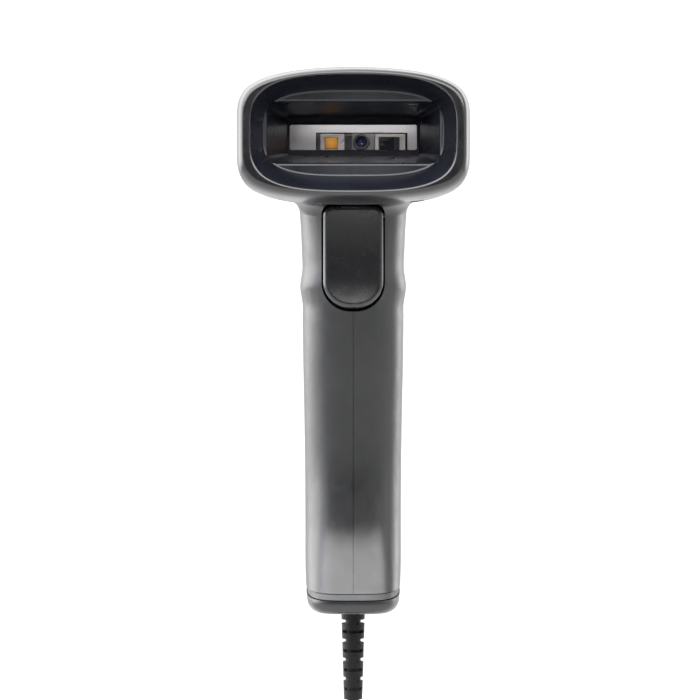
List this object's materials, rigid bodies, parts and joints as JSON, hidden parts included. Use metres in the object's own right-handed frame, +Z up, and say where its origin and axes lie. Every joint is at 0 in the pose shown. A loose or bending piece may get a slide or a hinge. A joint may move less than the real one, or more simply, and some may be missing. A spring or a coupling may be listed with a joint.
{
  "type": "handheld barcode scanner",
  "caption": "Upright pistol-grip barcode scanner: wide rounded head with a recessed scan window, finger trigger, slim handle and a corded foot with a coiled lead.",
  "frame": {"origin": "middle of the grip, on the plane where the two shells meet", "axes": "-Y the way the scan window faces, +X the user's left when they aim it, +Z up along the handle"},
  "size_m": [0.0692, 0.0963, 0.3396],
  "materials": {
    "casing": "fine textured dark grey",
    "bumper": "satin, near black",
    "gloss_black": "polished black",
    "window": "clear",
    "gasket": "matte",
    "carrier": "light grey",
    "engine_metal": "satin",
    "engine_dark": "satin",
    "amber": "clear amber",
    "lens_glass": "coated",
    "board": "green solder mask",
    "chip": "matte black",
    "connector": "ivory",
    "flex": "polyimide film",
    "steel": "bright",
    "gold": "gold plated",
    "socket": "matte black",
    "clear_plastic": "clear",
    "light_pipe": "milky",
    "boot": "matte black",
    "cable": "satin black jacket",
    "tie": "woven hook and loop strap",
    "plug_shell": "nickel plated",
    "plug_tongue": "white"
  },
  "bodies": {
    "housing": {"beeper": "socket", "board_passives": "connector", "board_socket": "connector", "cable_boot": "boot", "cable_contacts": "gold", "cable_core": "cable", "cable_hank": "cable", "cable_inner_plug": "clear_plastic", "cable_lead": "cable", "cable_socket": "socket", "cable_tie": "tie", "carrier_screws": "steel", "case_screws": "steel", "engine_aimer_frame": "engine_metal", "engine_aimer_prism": "gloss_black", "engine_board": "board", "engine_carrier": "carrier", "engine_chassis": "engine_dark", "engine_flex": "flex", "engine_lamp_frame": "engine_metal", "engine_lamp_lens": "amber", "engine_lens_block": "engine_dark", "engine_lens_glass": "lens_glass", "engine_lens_ring": "engine_dark", "engine_socket": "connector", "foot_cap": "casing", "foot_gasket": "gasket", "foot_screws": "steel", "front_bumper": "bumper", "head_top_cover": "casing", "indicator_board": "board", "indicator_flex": "flex", "indicator_socket": "connector", "interface_chip": "chip", "left_shell": "casing", "main_board": "board", "memory_chip": "chip", "processor_chip": "chip", "right_shell": "casing", "scan_funnel": "gloss_black", "scan_window": "window", "status_leds": "connector", "status_light_pipe": "light_pipe", "switch_body": "socket", "trigger_pin": "steel", "trigger_spring": "steel", "usb_contacts": "gold", "usb_grip": "boot", "usb_shell": "plug_shell", "usb_tongue": "plug_tongue", "window_gasket": "gasket"},
    "trigger": {"trigger": "bumper"},
    "switch_plunger": {"switch_plunger": "connector"}
  },
  "joints": [
    {"name": "trigger_pull", "type": "hinge", "parent": "housing", "child": "trigger", "pos_m": [0, -0.0186, 0.067], "axis": [1, 0, 0], "range_deg": [0, 4], "stiffness_Nm_per_rad": 0.35, "springref_deg": -2.86, "deforming": ["trigger_spring"]},
    {"name": "switch_press", "type": "slide", "parent": "housing", "child": "switch_plunger", "axis": [0, 1, 0], "range_m": [0, 0.0012]}
  ],
  "couplings": [
    {"joint": "switch_press", "follows": "trigger_pull", "m_per_rad": 0.017}
  ]
}
